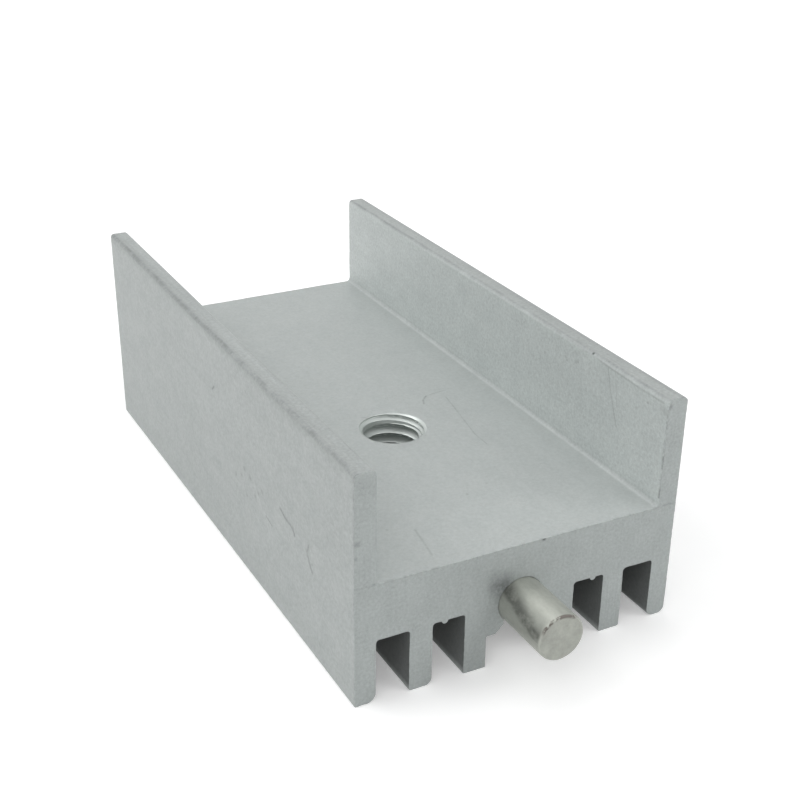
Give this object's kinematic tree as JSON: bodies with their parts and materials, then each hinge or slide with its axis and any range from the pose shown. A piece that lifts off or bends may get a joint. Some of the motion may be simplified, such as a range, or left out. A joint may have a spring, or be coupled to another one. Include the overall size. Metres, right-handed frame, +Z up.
{
  "type": "heat sink",
  "caption": "Short extruded aluminium heat sink: an open channel with a tapped screw hole for a tab-mounted transistor, fins under it, and a round solder pin in a groove.",
  "frame": {"origin": "the point on the solder pin's axis where it leaves the near end face", "axes": "+Z up, from the fins' tips to the tops of the side walls; +Y along the extrusion, away from the pin's free end; X across the section"},
  "size_m": [0.015, 0.0328, 0.0105],
  "materials": {
    "satin_aluminium": "satin, cleaned and unpainted",
    "tinned_pin": "dull tin plating"
  },
  "bodies": {
    "root": {"heat_sink": "satin_aluminium", "solder_pin": "tinned_pin"}
  },
  "joints": []
}
